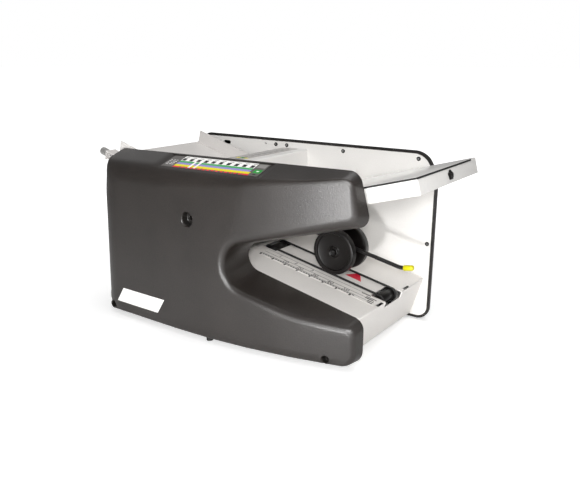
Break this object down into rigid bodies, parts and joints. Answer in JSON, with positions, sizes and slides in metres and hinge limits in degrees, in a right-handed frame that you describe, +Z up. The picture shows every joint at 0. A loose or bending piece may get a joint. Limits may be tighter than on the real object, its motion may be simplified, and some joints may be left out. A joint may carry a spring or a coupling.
{
  "type": "paper folding machine",
  "caption": "Tabletop paper folding machine with a sloping feed table, two fold tables, a belt conveyor under stacker wheels and a pair of moulded side covers.",
  "frame": {"origin": "on the floor under the middle of the whole machine", "axes": "+X from the fold tables to the feed and delivery end, +Y from the bitten cover to the plain one, +Z up"},
  "size_m": [0.7144, 0.3978, 0.3291],
  "materials": {
    "cover": "fine moulded texture",
    "white_paint": "smooth satin paint",
    "table_paint": "gloss paint",
    "tray_paint": "satin paint",
    "steel": "plain bright",
    "black_steel": "black finish",
    "rubber": "matt",
    "roller": "ground smooth",
    "black_plastic": "satin",
    "yellow_cap": "dipped vinyl",
    "nylon": "natural",
    "bronze": "plain",
    "aluminium": "turned",
    "motor_paint": "painted",
    "scale": "printed strip",
    "label": "printed film",
    "chart": "printed film"
  },
  "bodies": {
    "frame": {"base_plate": "white_paint", "near_side_plate": "white_paint", "far_side_plate": "white_paint", "near_cover": "cover", "far_cover": "cover", "end_panel": "white_paint", "tie_bars": "steel", "feet": "rubber", "feed_table": "table_paint", "feed_table_trim": "black_plastic", "feed_head_cover": "table_paint", "feed_scale_strip": "scale", "separator_pad": "rubber", "separator_bracket": "steel", "upper_fold_plate": "table_paint", "upper_fold_under_plate": "steel", "fold_rod_bracket": "table_paint", "lower_fold_plates": "steel", "roller_bushes": "bronze", "motor": "motor_paint", "drive_belt": "rubber", "feed_belt": "rubber", "delivery_belt": "rubber", "delivery_chute": "steel", "exit_tray": "tray_paint", "tray_label": "label", "front_roller_bracket": "steel", "conveyor_belts": "rubber", "chart_label": "chart", "badge_plate": "label", "panel_screws": "steel", "cover_screws": "black_steel", "switch_bezel": "black_plastic", "power_inlet": "black_plastic"},
    "table_knob": {"feed_table_knob": "black_plastic"},
    "near_guide": {"near_paper_guide": "table_paint"},
    "far_guide": {"far_paper_guide": "table_paint"},
    "feed_roller": {"feed_roller_shaft": "steel", "feed_roller_tyres": "rubber"},
    "roller_a": {"fold_roller_a": "roller", "fold_gear_a": "nylon"},
    "roller_b": {"fold_roller_b": "roller", "fold_gear_b": "nylon", "drive_pulley": "aluminium"},
    "roller_c": {"fold_roller_c": "roller", "fold_gear_c": "nylon"},
    "roller_d": {"fold_roller_d": "roller", "fold_gear_d": "nylon"},
    "motor_rotor": {"motor_pulley": "aluminium"},
    "rear_roller": {"conveyor_rear_roller": "black_plastic"},
    "front_roller": {"conveyor_front_roller": "black_plastic"},
    "stacker_arm": {"stacker_rod": "black_steel", "rod_cap": "yellow_cap"},
    "carriage": {"stacker_carriage": "black_plastic", "wheel_screws": "steel"},
    "wheels": {"stacker_wheels": "black_plastic"},
    "upper_stop": {"upper_fold_stop": "steel"},
    "stop_knob": {"fold_stop_knob": "steel"},
    "lower_stop": {"lower_fold_stop": "steel"},
    "rocker": {"power_rocker": "black_plastic"}
  },
  "joints": [
    {"name": "fold_roller_b_spin", "type": "hinge", "parent": "frame", "child": "roller_b", "pos_m": [-0.05538, -0.00114, 0.2144], "axis": [0, 1, 0], "continuous": true},
    {"name": "fold_roller_a_spin", "type": "hinge", "parent": "frame", "child": "roller_a", "pos_m": [-0.04736, -0.00114, 0.24164], "axis": [0, 1, 0], "continuous": true},
    {"name": "fold_roller_c_spin", "type": "hinge", "parent": "frame", "child": "roller_c", "pos_m": [-0.08335, -0.00114, 0.20947], "axis": [0, 1, 0], "continuous": true},
    {"name": "fold_roller_d_spin", "type": "hinge", "parent": "frame", "child": "roller_d", "pos_m": [-0.06031, -0.00114, 0.18643], "axis": [0, 1, 0], "continuous": true},
    {"name": "feed_roller_spin", "type": "hinge", "parent": "frame", "child": "feed_roller", "pos_m": [-0.00938, -0.00114, 0.243], "axis": [0, 1, 0], "continuous": true},
    {"name": "conveyor_rear_spin", "type": "hinge", "parent": "frame", "child": "rear_roller", "pos_m": [0.01101, -0.00114, 0.12862], "axis": [0, 1, 0], "continuous": true},
    {"name": "conveyor_front_spin", "type": "hinge", "parent": "frame", "child": "front_roller", "pos_m": [0.24521, -0.00114, 0.08097], "axis": [0, 1, 0], "continuous": true},
    {"name": "motor_spin", "type": "hinge", "parent": "frame", "child": "motor_rotor", "pos_m": [-0.07338, -0.00114, 0.054], "axis": [0, 1, 0], "continuous": true},
    {"name": "arm_lift", "type": "hinge", "parent": "frame", "child": "stacker_arm", "pos_m": [0.03379, -0.00114, 0.19042], "axis": [0, -1, 0], "range_deg": [0, 20]},
    {"name": "carriage_slide", "type": "slide", "parent": "stacker_arm", "child": "carriage", "axis": [0.9799, 0, -0.1994], "range_m": [-0.06, 0.06]},
    {"name": "wheel_spin", "type": "hinge", "parent": "carriage", "child": "wheels", "pos_m": [0.15565, -0.00114, 0.15491], "axis": [0, 1, 0], "continuous": true},
    {"name": "near_guide_slide", "type": "slide", "parent": "frame", "child": "near_guide", "axis": [0, 1, 0], "range_m": [0, 0.06]},
    {"name": "far_guide_slide", "type": "slide", "parent": "frame", "child": "far_guide", "axis": [0, -1, 0], "range_m": [0, 0.06]},
    {"name": "upper_stop_slide", "type": "slide", "parent": "frame", "child": "upper_stop", "axis": [0.9593, 0, -0.2823], "range_m": [-0.08, 0]},
    {"name": "stop_knob_spin", "type": "hinge", "parent": "upper_stop", "child": "stop_knob", "pos_m": [-0.34538, -0.11014, 0.30065], "axis": [0.9593, 0, -0.2823], "continuous": true},
    {"name": "lower_stop_slide", "type": "slide", "parent": "frame", "child": "lower_stop", "axis": [-0.866, 0, -0.5], "range_m": [-0.015, 0.04]},
    {"name": "table_knob_spin", "type": "hinge", "parent": "frame", "child": "table_knob", "pos_m": [0.354, -0.00114, 0.31037], "axis": [0.9636, 0, 0.2672], "continuous": true},
    {"name": "power_rocker", "type": "hinge", "parent": "frame", "child": "rocker", "pos_m": [-0.13338, 0.19026, 0.062], "axis": [-1, 0, 0], "range_deg": [0, 18]}
  ],
  "couplings": [
    {"joint": "fold_roller_a_spin", "follows": "fold_roller_b_spin", "ratio": -1},
    {"joint": "fold_roller_c_spin", "follows": "fold_roller_b_spin", "ratio": -1},
    {"joint": "fold_roller_d_spin", "follows": "fold_roller_b_spin", "ratio": -1},
    {"joint": "feed_roller_spin", "follows": "fold_roller_b_spin", "ratio": -0.77778},
    {"joint": "conveyor_rear_spin", "follows": "fold_roller_b_spin", "ratio": -1},
    {"joint": "conveyor_front_spin", "follows": "fold_roller_b_spin", "ratio": -1},
    {"joint": "motor_spin", "follows": "fold_roller_b_spin", "ratio": 2.5}
  ]
}
